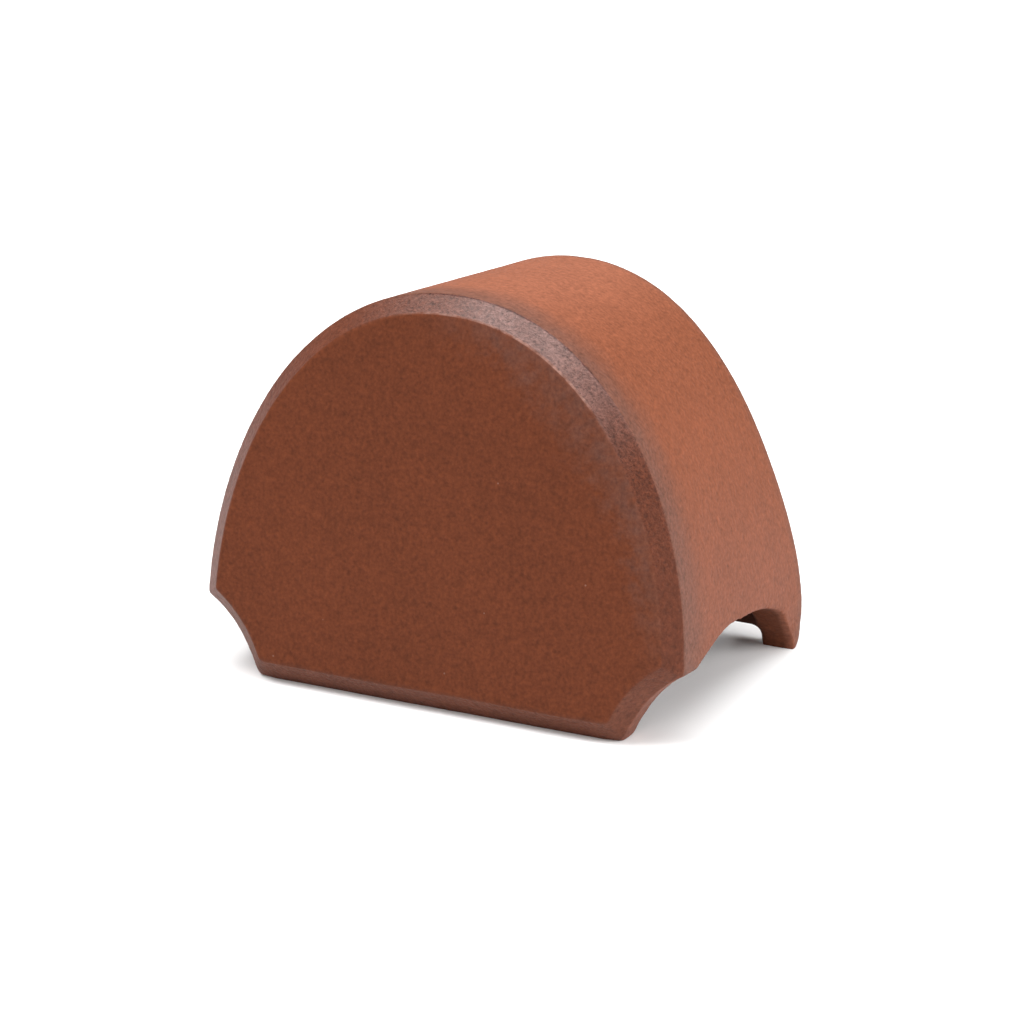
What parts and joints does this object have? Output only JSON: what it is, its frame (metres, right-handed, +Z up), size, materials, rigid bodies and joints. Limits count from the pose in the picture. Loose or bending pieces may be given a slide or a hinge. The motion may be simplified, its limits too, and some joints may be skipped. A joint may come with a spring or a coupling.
{
  "type": "ridge end tile",
  "caption": "Clay ridge end tile: flat bevelled front plate with cove-cut corners closing a short hollow arched barrel, open below and behind.",
  "frame": {"origin": "centre of the bounding box in X and Y, at the level of the table that the tile stands on", "axes": "+X across the tile, to the right seen from the front; +Y from the front plate towards the open back end; +Z up"},
  "size_m": [0.2558, 0.1756, 0.1969],
  "materials": {
    "fired_clay": "unglazed fired clay, fine sandy grain, darker and smoother on the front plate, greyish flashing on the bevelled edge"
  },
  "bodies": {
    "root": {"ridge_end_tile": "fired_clay"}
  },
  "joints": []
}
